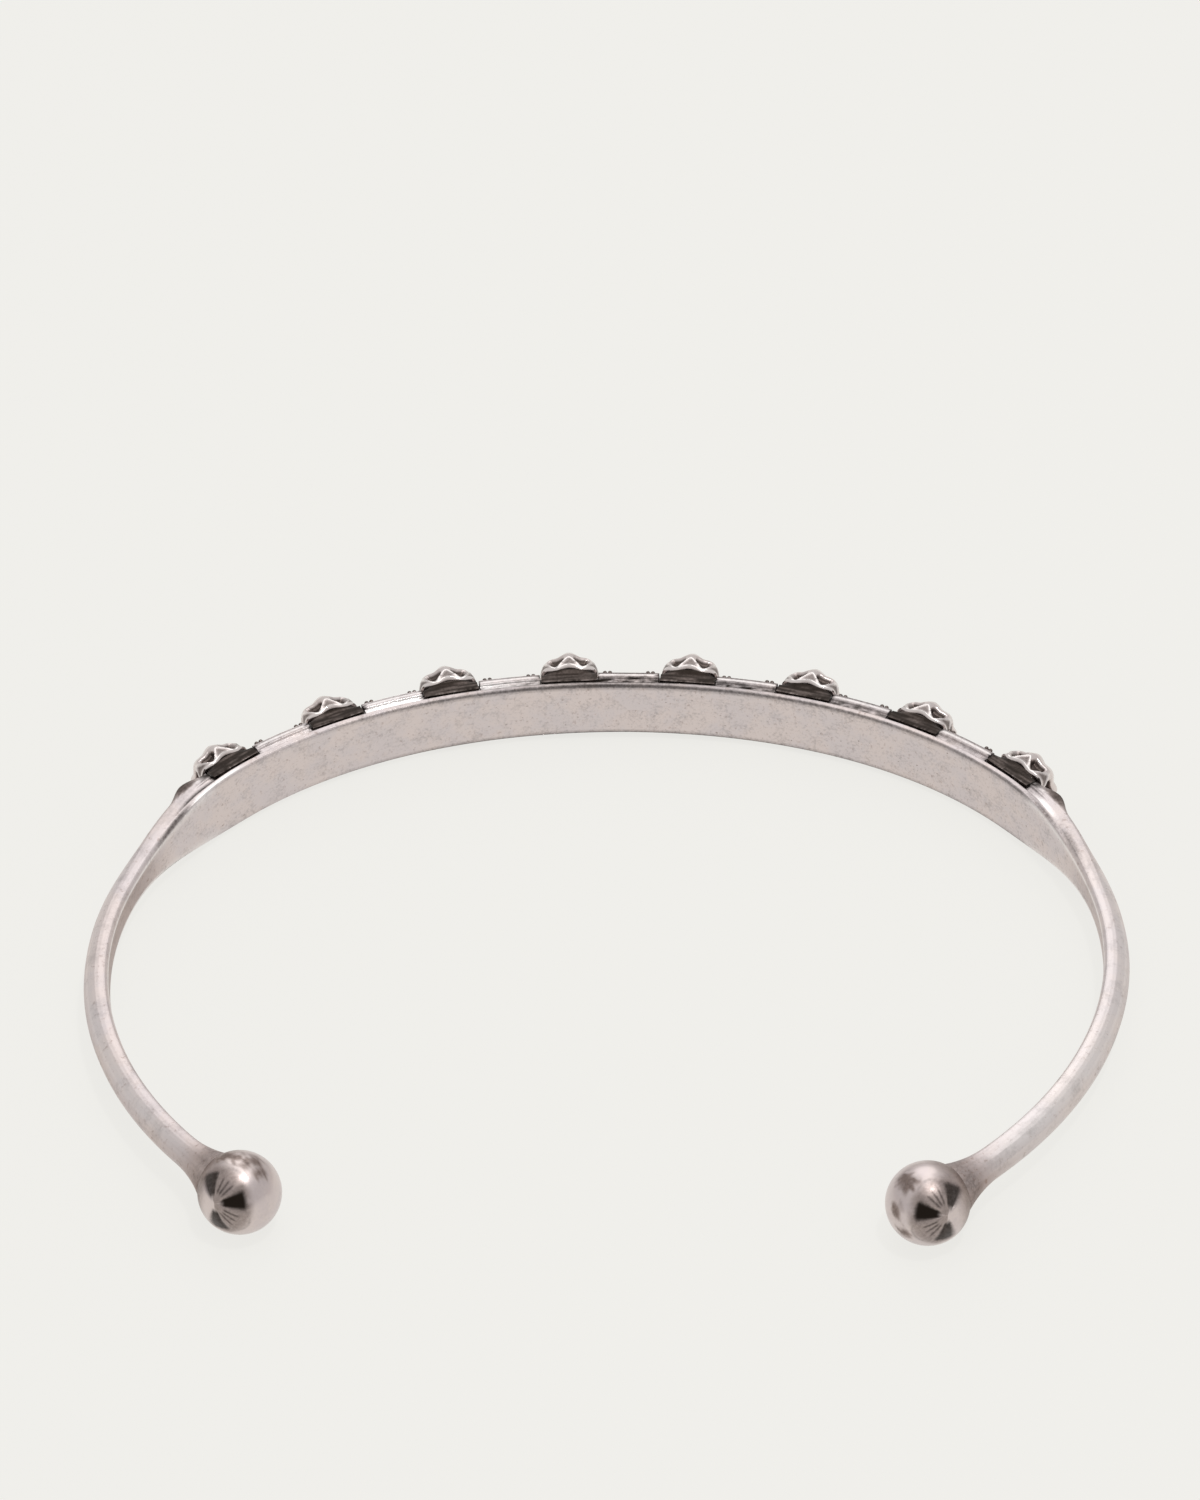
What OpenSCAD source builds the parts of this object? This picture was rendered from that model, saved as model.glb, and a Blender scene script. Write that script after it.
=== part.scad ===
// Open cuff bangle in oxidised silver, lying on its side.
// The band is at the back, at +Y, and the gap between the two balls is at the front, at -Y.
// Lengths along the bangle are measured on the inner face, from the middle of the band.

/* [Plan of the bend] */
// Bend radius at the middle of the band
back_radius = 46; // [43:1:49]
// Bend radius towards the ends of the band
shoulder_radius = 28; // [27:0.5:29]
// Length from the middle to the shoulder
shoulder_at = 18; // [17:0.5:19]
// Tightest bend radius, at the sides
side_radius = 20; // [19.5:0.25:20.5]
// Length from the middle to the tightest bend
side_at = 34; // [33:0.5:35]
// Bend radius halfway along the arms
arm_radius = 23; // [22:0.5:24]
// Length from the middle to halfway along the arms
arm_at = 48; // [46:1:50]
// Bend radius at the tips
tip_radius = 30; // [28:1:34]
// Length from the middle to the centre of a ball
half_length = 64.5; // [63:0.5:66]

/* [Band] */
// Height of the band at its middle
band_height = 3.75; // [3.5:0.05:3.9]
// Height of the band under the end studs
band_end_height = 4.05; // [3.8:0.05:4.15]
// Thickness of the band, with its rails
band_thickness = 1.45; // [1.4:0.05:1.6]
// Length from the middle to the end of the full-height band
band_half = 25.5; // [25:0.1:26]
// How far the rails stand above the field between them
rail_rise = 0.22; // [0.15:0.01:0.3]
// Width of each rail
rail_width = 0.5; // [0.3:0.05:0.6]
// Depth of the groove along each edge
groove_depth = 0.14; // [0.05:0.01:0.2]
// Width of the groove along each edge
groove_width = 0.5; // [0.4:0.05:0.55]

/* [Arms and balls] */
// Height of the wire arms
arm_height = 1.95; // [1.8:0.05:2.2]
// Thickness of the wire arms
arm_thickness = 1.55; // [1.4:0.05:1.7]
// Length from the middle to where the arms are full wire
arm_from = 37; // [36:0.5:39]
// Diameter of the balls
ball_diameter = 4.8; // [4.4:0.1:5]
// Rise of the small ridge across each end of the band
ridge_rise = 0.45; // [0.3:0.05:0.6]

/* [Studs] */
// Distance between studs along the inner face
stud_pitch = 7.18; // [7.1:0.02:7.24]
// Length of each square collar along the band
collar_length = 3.4; // [3.2:0.1:3.5]
// How far the foot of each rosette stands above the rails
collar_rise = 0.1; // [0.05:0.01:0.2]
// Half the length of each rosette along the band
rosette_half_length = 1.95; // [1.85:0.05:2.05]
// Half the height of each rosette across the band
rosette_half_height = 2.25; // [2.1:0.01:2.35]
// How far a rosette at the middle of the band stands out from its foot
rosette_height = 2.2; // [2:0.05:2.4]
// How far a rosette at the end of the band stands out from its foot
rosette_end_height = 2; // [1.8:0.05:2.4]

/* [Hidden] */

stud_count = 8;
petal_count = 8;
steps_per_petal = 5;
path_steps = 60;
ball_radius = ball_diameter / 2;
field_depth = band_thickness - rail_rise;
edge_bevel = 0.12;
notch_depth = 0.24;
cheek_from = 0.56;
cheek_height = 0.18;
collar_sunk = 0.06;
squareness = 2.4;
strip_width = 0.4;
stud_gap = 0.03;
rail_end_gap = 0.05;
ridge_at = 28.5;
ridge_half = 1.5;
rounding_from = 27.5;
rounding_to = 36;
flat_share = 0.35;
flat_power = 0.5;
flare_from = half_length - 4.2;
flare_to = half_length - 2.2;
flare_radius = 1.2;
ball_first = 34;
ball_step = 12;
ball_last = 172;

groove_wall = 0.08;
strip_end = strip_width + groove_width;

// Rings of a rosette from its foot to its middle:
// share of the outline radius, share of the height on a petal, share of the height between petals
rosette_rings = [
    [0.96, 0.00, 0.00],
    [1.00, 0.27, 0.25],
    [0.98, 0.48, 0.44],
    [0.93, 0.70, 0.65],
    [0.85, 0.88, 0.81],
    [0.70, 0.97, 0.90],
    [0.48, 0.96, 0.89],
    [0.28, 0.90, 0.88],
    [0.13, 1.00, 1.00]
];

function mix(a, b, share) = a + (b - a) * share;
function ease(from, to, x) = let (t = min(1, max(0, (x - from) / (to - from)))) t * t * (3 - 2 * t);
function total(list) = list * [for (item = list) 1];

// Curvature of the inner face at a length a from the middle, and the turn of its tangent there
bends = [
    [0, 1 / back_radius],
    [shoulder_at, 1 / shoulder_radius],
    [side_at, 1 / side_radius],
    [arm_at, 1 / arm_radius],
    [half_length, 1 / tip_radius]
];
function bend(a) = lookup(a, bends);
function turned(a) = (180 / PI) * total([for (i = [1 : len(bends) - 1]) let (
    from = min(a, bends[i - 1][0]),
    to = min(a, bends[i][0]))
    (to - from) * (bend(from) + bend(to)) / 2]);
function heading(s) = sign(s) * turned(abs(s));

// Point of the inner face in plan, by adding up short straight steps from the middle
function plan_point(s) = let (
    step = abs(s) / path_steps,
    turns = [for (i = [0.5 : path_steps]) turned(i * step)])
    [sign(s) * step * total([for (t = turns) cos(t)]), -step * total([for (t = turns) sin(t)])];

// The origin is under the middle of the bangle's box
front_reach = plan_point(half_length).y + arm_thickness / 2 * cos(turned(half_length)) - ball_radius;
back_reach = plan_point(stud_pitch / 2).y + band_thickness + collar_rise + head_height(stud_pitch / 2);
centre_shift = -(front_reach + back_reach) / 2;

// How far a rosette at a length a stands out from its foot
function head_height(a) = mix(rosette_height, rosette_end_height, a / band_half);

// Half height of the section, its thickness, and the height of its middle above the ground
function band_half_height(a) = mix(band_height, band_end_height, min(1, a / band_half)) / 2;
function half_height(a) = mix(band_half_height(a), arm_height / 2, ease(band_half, arm_from, a));
function thickness(a) = mix(band_thickness, arm_thickness, ease(band_half, arm_from, a));
function middle_height(a) = mix(rosette_half_height, ball_radius, ease(band_half, flare_to, a));
function ridge(a) = ridge_rise * (1 - ease(0, ridge_half, abs(a - ridge_at)));

// Rails are cut away and the edges of the band are notched where the collars go over them
stud_places = [for (i = [1 : stud_count]) (i - (stud_count + 1) / 2) * stud_pitch];
rail_cut = collar_length / 2 + rail_end_gap;
function under_collar(a) = min([for (p = stud_places) abs(abs(p) - a)]) < rail_cut ? 1 : 0;

// Upper half of the band's section from the inner face outwards: depth and height
function band_corners(a) = let (
    high = half_height(a),
    cut = under_collar(a),
    low = high - notch_depth * cut,
    groove = high - mix(groove_depth, notch_depth, cut),
    top = thickness(a) + ridge(a) - rail_rise * cut,
    field = thickness(a) + ridge(a) - rail_rise) [
    [0, high - edge_bevel],
    [edge_bevel, high],
    [strip_width, high],
    [strip_width + groove_wall, groove],
    [strip_end - groove_wall, groove],
    [strip_end, low],
    [top - edge_bevel, low],
    [top, low - edge_bevel],
    [top, high - rail_width],
    [field, high - rail_width - edge_bevel],
    [field, 0]
];

// The same corners on the wire of an arm, flat inside and round outside, and on a circle
corner_angles = [24, 38, 54, 68, 80, 92, 106, 120, 136, 156, 180];
function arm_corner(a, t) = let (flat = flat_share * thickness(a)) t < 90
    ? [flat * (1 - pow(cos(t), flat_power)), half_height(a) * pow(sin(t), flat_power)]
    : [flat - (thickness(a) - flat) * cos(t), half_height(a) * sin(t)];
function arm_corners(a) = [for (t = corner_angles) arm_corner(a, t)];
function round_corners(radius) = [for (t = corner_angles)
    [arm_thickness / 2 - radius * cos(t), radius * sin(t)]];

function half_section(a) =
    let (wire = mix(band_corners(a), arm_corners(a), ease(rounding_from, rounding_to, a)))
    mix(wire, round_corners(flare_radius), ease(flare_from, flare_to, a));

// A whole section from its upper half: the inner middle point, up and over, then back underneath
function whole(half, inner) = concat(
    [[inner, 0]],
    half,
    [for (i = [len(half) - 2 : -1 : 0]) [half[i].x, -half[i].y]]);

// Section points in space at a length s, with the section's plane moved on by ahead
function placed(section, s, ahead = 0) = let (
    p = plan_point(s),
    turn = heading(s),
    z = middle_height(abs(s)))
    [for (q = section) [
        p.x + ahead * cos(turn) + q.x * sin(turn),
        p.y - ahead * sin(turn) + q.x * cos(turn),
        z + q.y]];

function inner_point(a) = mix(0, arm_thickness / 2 - flare_radius, ease(flare_from, flare_to, a));
function ring(s) = placed(whole(half_section(abs(s)), inner_point(abs(s))), s);
function ball_ring(side, t) = placed(
    whole(round_corners(ball_radius * sin(t)), arm_thickness / 2 - ball_radius * sin(t)),
    side * half_length,
    -side * ball_radius * cos(t));

// Lengths at which the band and the arm are cut into sections
cut_width = 0.02;
between_studs = 0.5 - stud_pitch / 2;
band_steps = [for (p = [for (q = stud_places) if (q > 0) q], d = [
    between_studs, -rail_cut - cut_width, -rail_cut + cut_width, 0,
    rail_cut - cut_width, rail_cut + cut_width]) p + d];
ridge_steps = [for (d = [-1 : 0.5 : 1]) ridge_at + d * ridge_half];
arm_step = 1.6;
arm_steps = [for (a = [ridge_at + ridge_half + arm_step : arm_step : flare_to]) a];
steps = concat(band_steps, ridge_steps, arm_steps);
last_step = len(steps) - 1;
ball_turns = [for (t = [ball_first : ball_step : ball_last]) t];
last_turn = len(ball_turns) - 1;

cuff_rings = concat(
    [for (i = [last_turn : -1 : 0]) ball_ring(-1, ball_turns[i])],
    [for (i = [last_step : -1 : 0]) ring(-steps[i])],
    [for (a = steps) ring(a)],
    [for (t = ball_turns) ball_ring(1, t)]);

// Closed skin over a list of rings that have the same number of points
module skin(rings) {
    count = len(rings[0]);
    last = len(rings) - 1;
    points = [for (r = rings, p = r) p];
    first_cap = [for (j = [count - 1 : -1 : 0]) j];
    last_cap = [for (j = [0 : count - 1]) last * count + j];
    sides = [for (i = [0 : last - 1], j = [0 : count - 1]) let (
        a = i * count + j,
        b = i * count + (j + 1) % count,
        c = a + count,
        d = b + count)
        each [[a, b, c], [b, d, c]]];
    polyhedron(points, concat([first_cap, last_cap], sides), convexity = 6);
}

// Band, arms and balls, soldered into one piece
module cuff() {
    color("silver")
        translate([0, centre_shift, 0])
            skin(cuff_rings);
}

// Share of a petal at an angle: 1 on its ridge and 0 between two petals
function petal(t) = pow((1 + cos(petal_count * (t - 90))) / 2, 0.8);
function squared(t) = pow(
    pow(abs(cos(t)) / rosette_half_length, squareness) + pow(abs(sin(t)) / rosette_half_height, squareness),
    -1 / squareness);
function outline_radius(t) = squared(t) * mix(0.95, 1, petal(t));
turn_steps = petal_count * steps_per_petal;

module rosette(height) {
    rings = [for (row = rosette_rings)
        [for (i = [0 : turn_steps - 1]) let (
            t = i * 360 / turn_steps,
            r = row[0] * outline_radius(t))
            [r * cos(t), r * sin(t), height * mix(row[2], row[1], petal(t))]]];
    skin([for (r = rings) [for (i = [turn_steps - 1 : -1 : 0]) r[i]]]);
}

// Outline of a collar across the band, as height and depth: it clasps both edges of the band
function collar_outline(high, foot, top) = [
    [-high, cheek_from],
    [cheek_height - high, cheek_from],
    [cheek_height - high, foot],
    [high - cheek_height, foot],
    [high - cheek_height, cheek_from],
    [high, cheek_from],
    [high, top],
    [-high, top]
];

// Square collar with a rosette on it, set on the band's outer face. The petals reach furthest along and
// across the band, so they give the length and the height of the whole casting.
module stud(number) {
    s = stud_places[number - 1];
    p = plan_point(s);
    foot = field_depth + stud_gap;
    head = band_thickness + collar_rise;
    high = band_half_height(abs(s)) - stud_gap;
    translate([p.x, p.y + centre_shift, middle_height(abs(s))])
        rotate([0, 0, -heading(s)])
            rotate([-90, 0, 0])
                resize([2 * rosette_half_length, 2 * rosette_half_height, 0]) {
                    color("dimgray")
                        rotate([90, 0, 90])
                            linear_extrude(collar_length, center = true)
                                polygon(collar_outline(high, foot, head + collar_sunk));
                    color("gainsboro")
                        translate([0, 0, head])
                            rosette(head_height(abs(s)));
                }
}

cuff();
stud(1);  // stud_1
stud(2);  // stud_2
stud(3);  // stud_3
stud(4);  // stud_4
stud(5);  // stud_5
stud(6);  // stud_6
stud(7);  // stud_7
stud(8);  // stud_8
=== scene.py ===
# %% [markdown]
# # An open cuff bangle in oxidised silver
# This lesson dresses a plain solid model of a small cast and soldered bangle. The solids already have
# the right size and place. Blender adds what a caster, a file and a pot of oxide leave behind: soft
# edges, engraving, black hollows, satin faces and a few scratches. All of it is worked out from a
# handful of lengths and fixed seeds, so the lesson gives the same bangle every time it runs.

# %% Load the solid model
import math
import bpy
import numpy as np
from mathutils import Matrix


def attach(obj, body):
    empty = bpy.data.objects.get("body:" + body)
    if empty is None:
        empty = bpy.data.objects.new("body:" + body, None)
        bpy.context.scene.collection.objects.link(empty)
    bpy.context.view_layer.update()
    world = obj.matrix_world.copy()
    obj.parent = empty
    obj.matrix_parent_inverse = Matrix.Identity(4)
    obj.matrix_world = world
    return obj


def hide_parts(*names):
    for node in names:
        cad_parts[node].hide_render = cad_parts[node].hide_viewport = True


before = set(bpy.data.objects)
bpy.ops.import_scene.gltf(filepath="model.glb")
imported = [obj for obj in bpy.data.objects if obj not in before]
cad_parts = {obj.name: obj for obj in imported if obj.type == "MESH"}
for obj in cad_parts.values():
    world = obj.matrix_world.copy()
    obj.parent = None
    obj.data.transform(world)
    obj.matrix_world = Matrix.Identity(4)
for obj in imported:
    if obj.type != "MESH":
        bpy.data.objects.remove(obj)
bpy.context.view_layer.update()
mm = 0.001

# %% [markdown]
# ## Point a thing at a place
# A camera and a lamp both look along their own -Z axis. A constraint could keep them pointed at an
# empty, but a matrix says the same in a few lines and leaves nothing to be solved later. So these
# helpers turn two points, where a thing stands and what it looks at, into its matrix.

# %% Aim a camera or a lamp
def aimed(eye, target):
    """Rotation that points an object's -Z axis from eye to target."""
    gaze = (target - eye) / np.linalg.norm(target - eye)
    side = np.cross(gaze, [0, 0, 1])
    side = side / np.linalg.norm(side)
    return np.column_stack([side, np.cross(side, gaze), -gaze])


def rolled(angle):
    """A turn about the line of sight."""
    c, s = math.cos(angle), math.sin(angle)
    return np.array([[c, -s, 0], [s, c, 0], [0, 0, 1]])


def placed_matrix(rotation, place):
    matrix = np.eye(4)
    matrix[:3, :3] = rotation
    matrix[:3, 3] = place
    return matrix.T.tolist()


straight_down = aimed(np.array([0.0, -0.001, 1.0]), np.array([0.0, 0.0, 0.0]))
print("a thing overhead looks along:", np.round(-straight_down[:, 2], 2))

# %% [markdown]
# ## Where the camera stands
# The photograph looks down at the bangle from the front at about 40 degrees with a long lens, so the
# two ends look almost as large as the band behind them. A camera far away with a narrow view does the
# same. Its focal length is worked out from how many pixels one millimetre covers. The camera is rolled
# a little, because the real one was held a little askew.

# %% Camera
camera_elevation = math.radians(39.4)
camera_turn = math.radians(5.53)
camera_roll = math.radians(-2.96)
camera_distance = 350.8 * mm
look_at = np.array([-1.79, 19.93, 0]) * mm
pixels_per_mm = 16.14
photo_width = 1200
sensor_width = 36
eye = look_at + camera_distance * np.array([
    math.sin(camera_turn) * math.cos(camera_elevation),
    -math.cos(camera_turn) * math.cos(camera_elevation),
    math.sin(camera_elevation)])
lens = bpy.data.cameras.new("camera")
lens.sensor_fit = "HORIZONTAL"
lens.sensor_width = sensor_width
lens.lens = sensor_width * pixels_per_mm * (camera_distance / mm) / photo_width
camera = bpy.data.objects.new("camera", lens)
camera.matrix_world = placed_matrix(aimed(eye, look_at) @ rolled(camera_roll), eye)
bpy.context.scene.collection.objects.link(camera)
bpy.context.scene.camera = camera
bpy.context.scene.view_settings.view_transform = "Standard"
print("lens, millimetres:", round(lens.lens, 1))

# %% [markdown]
# ## Shader sums in plain Python
# A material in Blender is a web of nodes. Long webs are hard to read, so one small class wraps a
# socket and lets Python's own signs do the arithmetic: `1 - mask` adds a Math node and hands back its
# result. Colours go through a Mix node, because a Math node would turn them grey, and places go
# through a Vector Math node. Every node comes from the one method called node.

# %% A socket that can be added, multiplied and mixed
class Field:
    """A shader socket that takes part in Python expressions."""

    def __init__(self, socket):
        self.socket = socket
        self.tree = socket.id_data

    def node(self, kind, settings, sockets, out=0):
        """Add any node: its settings are set first, then its sockets are given values or links."""
        made = self.tree.nodes.new(kind)
        for name, value in settings.items():
            setattr(made, name, value)
        for name, value in sockets.items():
            if isinstance(value, Field):
                value.feeds(made.inputs[name])
            else:
                made.inputs[name].default_value = value
        return Field(made.outputs[out])

    def feeds(self, socket):
        self.tree.links.new(self.socket, socket)

    def math(self, operation, first, second, clamp=False):
        settings = {"operation": operation, "use_clamp": clamp}
        return self.node("ShaderNodeMath", settings, {0: first, 1: second})

    def __add__(self, other):
        return self.math("ADD", self, other)

    def __sub__(self, other):
        return self.math("SUBTRACT", self, other)

    def __rsub__(self, other):
        return self.math("SUBTRACT", other, self)

    def __mul__(self, other):
        return self.math("MULTIPLY", self, other)

    def __pow__(self, other):
        return self.math("POWER", self, other)

    __radd__ = __add__
    __rmul__ = __mul__

    def clipped(self):
        """This value kept between 0 and 1."""
        return self.math("ADD", self, 0.0, clamp=True)

    def step(self, start, stop):
        """0 below start and 1 above stop, with a soft rise between them."""
        sockets = {"Value": self, "From Min": start, "From Max": stop}
        return self.node("ShaderNodeMapRange", {"interpolation_type": "SMOOTHSTEP"}, sockets)

    def colour(self, low, high):
        """A colour that goes from low to high as this value goes from 0 to 1."""
        return self.node("ShaderNodeMix", {"data_type": "RGBA"}, {0: self, 6: low, 7: high}, out=2)

    def shaded(self, share):
        """This colour, darkened where the share falls below 1."""
        grey = share.colour((0, 0, 0, 1), (1, 1, 1, 1))
        settings = {"data_type": "RGBA", "blend_type": "MULTIPLY"}
        return self.node("ShaderNodeMix", settings, {0: 1.0, 6: self, 7: grey}, out=2)

    def stretched(self, by):
        """This place with each of its axes multiplied."""
        return self.node("ShaderNodeVectorMath", {"operation": "MULTIPLY"}, {0: self, 1: by})

    def noise(self, scale=1.0, detail=3.0, rough=0.65):
        """Soft random values at this place, about 0.5 on average."""
        sockets = {"Vector": self, "Scale": scale, "Detail": detail, "Roughness": rough}
        return self.node("ShaderNodeTexNoise", {"noise_dimensions": "3D"}, sockets)

    def mark(self, name, out="Fac"):
        """What a mesh carries at each of its points under this name."""
        return self.node("ShaderNodeAttribute", {"attribute_name": name}, {}, out)


print("a Field can:", [name for name in vars(Field) if not name.startswith("_")])

# %% [markdown]
# ## The finish of old silver
# Silver that has been dipped in oxide turns black all over. Then it is rubbed: the high places come
# back to a soft, slightly pink grey, and the hollows stay black. A painted picture could show that, but
# a recipe of noises stays sharp at any distance. So one recipe serves the whole bangle, and each piece
# tells it where it is black, brown, bright or an inner face. Besides oxide, tarnish and polish, these
# marks also carry painted shade and painted highlights. Those marks are stored on the mesh, where
# the shape of the hollows is known. The recipe adds the small things a shape can't carry: mottling,
# pin-sized pits and fine scratches that run along the metal.

# %% Silver recipe
SATIN = (0.675, 0.612, 0.612, 1)
WARM = (0.725, 0.638, 0.612, 1)
BRIGHT = (0.93, 0.90, 0.885, 1)
BROWN = (0.36, 0.275, 0.245, 1)
BLACK = (0.020, 0.015, 0.012, 1)
PIT = (0.20, 0.14, 0.11, 1)
RUST = (0.46, 0.33, 0.28, 1)


def silver(name, satin, satin_rough, mottle, stains):
    """Oxidised silver that reads its marks from the mesh: black oxide and painted shade, brown tarnish and
    painted shade, polish and painted highlights, and the inner face.
    """
    material = bpy.data.materials.new(name)
    material.use_nodes = True
    shader = material.node_tree.nodes["Principled BSDF"]
    start = Field(shader.outputs["BSDF"])
    oxide = start.mark("oxide")
    tarnish = start.mark("tarnish")
    polish = start.mark("polish")
    inside = start.mark("inside")
    run = start.mark("run", "Vector")

    cloud = run.noise(scale=0.9, detail=4.0, rough=0.6)
    warm = run.noise(scale=0.35, detail=4.0).step(0.40, 0.60)
    speck = run.noise(scale=5.0, rough=0.7)
    scratch = run.stretched((0.55, 9.0, 9.0)).noise()
    fleck = run.stretched((3.4, 2.8, 2.8)).noise().step(0.57, 0.76) * stains
    pit = run.stretched((3.6, 5.0, 5.0)).noise(detail=1.0, rough=0.4).step(0.72, 0.80) * inside * stains
    dust = run.stretched((5.5, 7.5, 7.5)).noise(detail=2.0, rough=0.6).step(0.64, 0.72) * inside * stains

    worn = (0.75 * warm).colour(satin, WARM)
    worn = polish.colour(worn, BRIGHT)
    worn = (tarnish + 0.62 * fleck * (1 - polish)).clipped().colour(worn, BROWN)
    worn = (0.55 * dust).colour(worn, RUST)
    worn = (0.75 * pit).colour(worn, PIT)
    grained = (0.55 + 0.85 * inside) * mottle
    shade = 1 - mottle * (cloud - 0.5) - grained * (speck - 0.5) - 0.08 * (scratch - 0.5)
    ragged = (oxide + 0.7 * (speck - 0.5) * (1 - (2 * oxide - 1) ** 2)).clipped()
    coloured = ragged.colour(worn.shaded(shade), BLACK)
    rough = satin_rough - 0.24 * polish + 0.16 * ragged + 0.10 * (scratch - 0.5) + 0.1 * tarnish
    height = 0.5 * scratch + 0.25 * speck - 1.5 * pit
    bump = {"Strength": 0.35, "Distance": 0.012 * mm, "Height": height}

    shader.inputs["Metallic"].default_value = 1.0
    coloured.feeds(shader.inputs["Base Color"])
    rough.clipped().feeds(shader.inputs["Roughness"])
    height.node("ShaderNodeBump", {}, bump).feeds(shader.inputs["Normal"])
    return material


print("brightness of satin, worn and black silver:", SATIN[1], BRIGHT[1], BLACK[1])

# %% [markdown]
# ## Three silvers from one recipe
# The cuff is brushed satin with flecks and stains. The studs were cast and tumbled, so they are
# smoother and cleaner, and the balls are polished too but a little darker. Three materials could be
# built by hand, but then every change would have to be made three times.

# %% The three silvers
cuff_silver = silver("cuff silver", SATIN, satin_rough=0.46, mottle=0.75, stains=1.0)
stud_silver = silver("stud silver", (0.71, 0.64, 0.625, 1), satin_rough=0.24, mottle=0.25, stains=0.0)
ball_silver = silver("ball silver", (0.655, 0.58, 0.578, 1), satin_rough=0.29, mottle=0.35, stains=0.0)
print("materials:", [material.name for material in (cuff_silver, stud_silver, ball_silver)])

# %% [markdown]
# ## Soft steps
# Filed and rubbed metal has no sudden ends: a groove fades out, a stain has a soft edge. These four
# helpers draw all such ends. Blender's colour ramps could do it inside the material, but the marks
# depend on the shape of the metal, and that is known here in numbers.

# %% Ease, mix, bump and stretch
def ease(start, stop, x):
    """0 before start and 1 after stop, with a soft rise between them."""
    t = np.clip((np.asarray(x, float) - start) / (stop - start), 0, 1)
    return t * t * (3 - 2 * t)


def mix(a, b, share):
    return a + (b - a) * share


def bump_at(x, centre, half_width):
    """1 at the centre, falling softly to 0 at half_width on both sides."""
    return 1 - ease(0, half_width, np.abs(x - centre))


def stretch(x, rise, fall):
    """1 between two places, with a soft rise before them and a soft fall after them."""
    return ease(*rise, x) * (1 - ease(*fall, x))


print("a soft rise:", np.round(ease(0, 1, np.linspace(0, 1, 5)), 2))

# %% [markdown]
# ## The bend
# A cuff like this is bent cold over a mandrel. It is almost straight across the back of the wrist,
# tightest at the sides and a little easier towards the tips. A drawn curve object could follow that,
# but a curve whose bend changes evenly along its length has the same flow as bent metal. So the bend
# radius is written down at five places and added up, in steps of a hundredth of a millimetre.

# %% The inner face seen from above
half_length = 64.5
bend_places = [0, 18, 34, 48, half_length]
bend_radii = np.array([46, 28, 20, 23, 30])
lengths = np.linspace(0, half_length, 6001)
spacing = lengths[1]
curvature = np.interp(lengths, bend_places, 1 / bend_radii)
turned = np.concatenate([[0], np.cumsum((curvature[1:] + curvature[:-1]) / 2)]) * spacing
middle_turned = (turned[1:] + turned[:-1]) / 2
plan_x = np.concatenate([[0], np.cumsum(np.cos(middle_turned))]) * spacing
plan_y = -np.concatenate([[0], np.cumsum(np.sin(middle_turned))]) * spacing
print("turn at the tips, degrees:", round(math.degrees(turned[-1]), 1))

# %% [markdown]
# ## Where the curve lies
# The solid model keeps its origin under the middle of the bangle's box, so the curve is moved back by
# the distance from there to the inner face. It could be measured from the loaded solids, but the same
# lengths that made them give it exactly: the balls reach furthest forward and the two middle studs
# furthest back.

# %% Lengths of the bangle and its middle
ball_diameter, arm_thickness, arm_height = 4.8, 1.55, 1.95
band_thickness, band_height, band_end_height = 1.45, 3.75, 4.05
band_half, arm_from = 25.5, 37
stud_pitch, collar_length, collar_rise = 7.18, 3.4, 0.1
rosette_half_length, rosette_half_height = 1.95, 2.25
rosette_height, rosette_end_height = 2.2, 2.0
stud_places = (np.arange(8) - 3.5) * stud_pitch
ball_radius = ball_diameter / 2


def head_tall(a):
    """How far a stud's head stands out: the heads at the ends of the row are a little flatter."""
    return mix(rosette_height, rosette_end_height, a / band_half)


middle_stud = stud_pitch / 2
front_reach = plan_y[-1] + arm_thickness / 2 * math.cos(turned[-1]) - ball_radius
back_reach = np.interp(middle_stud, lengths, plan_y) + band_thickness + collar_rise + head_tall(middle_stud)
centre_shift = -(front_reach + back_reach) / 2
print("inner face from the origin, millimetres:", round(centre_shift, 3))

# %% [markdown]
# ## From the cuff's own measure to space
# A silversmith measures along the strip before it is bent. This lesson does the same: every point has a
# length along the strip, a depth outwards from the inner face and a height. Blender's Curve modifier
# could bend a straight model, but this one function bends anything and stays exact.

# %% Place points along the bend
def heading(s):
    return np.sign(s) * np.interp(np.abs(s), lengths, turned)


def middle_height(a):
    """Height of the cuff's middle line: the heads lie on the paper, and so do the balls."""
    return mix(rosette_half_height, ball_radius, ease(band_half, half_length - 2.2, a))


def placed(s, depth, height, ahead=0.0):
    """Points in space from a length s, a depth outwards, a height over the middle and a step ahead."""
    a, turn = np.abs(s), heading(s)
    x = np.sign(s) * np.interp(a, lengths, plan_x) + ahead * np.cos(turn) + depth * np.sin(turn)
    y = np.interp(a, lengths, plan_y) - ahead * np.sin(turn) + depth * np.cos(turn) + centre_shift
    return np.stack(np.broadcast_arrays(x, y, middle_height(a) + height), axis=-1)


print("tip of the right arm, millimetres:", np.round(placed(half_length, 0.0, 0.0), 2))

# %% [markdown]
# ## How the strip narrows
# The real strip was hammered: high and thin at the band, then lower and a little thicker along the
# arms. A lattice could squeeze a model that way. Here each measure is a function of the distance from
# the middle of the band, so anything that sits on the strip can ask how high and thick it is there.

# %% Height and thickness along the strip
def band_half_height(a):
    return mix(band_height, band_end_height, np.minimum(1, a / band_half)) / 2


def half_height(a):
    return mix(band_half_height(a), arm_height / 2, ease(band_half, arm_from, a))


def thickness(a):
    return mix(band_thickness, arm_thickness, ease(band_half, arm_from, a))


def from_stud(s):
    """Distance from a place on the band to the nearest stud."""
    return np.min(np.abs(np.asarray(s)[..., None] - stud_places), axis=-1)


print("height at the middle and on an arm, millimetres:", 2 * half_height(0), 2 * half_height(arm_from))

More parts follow.
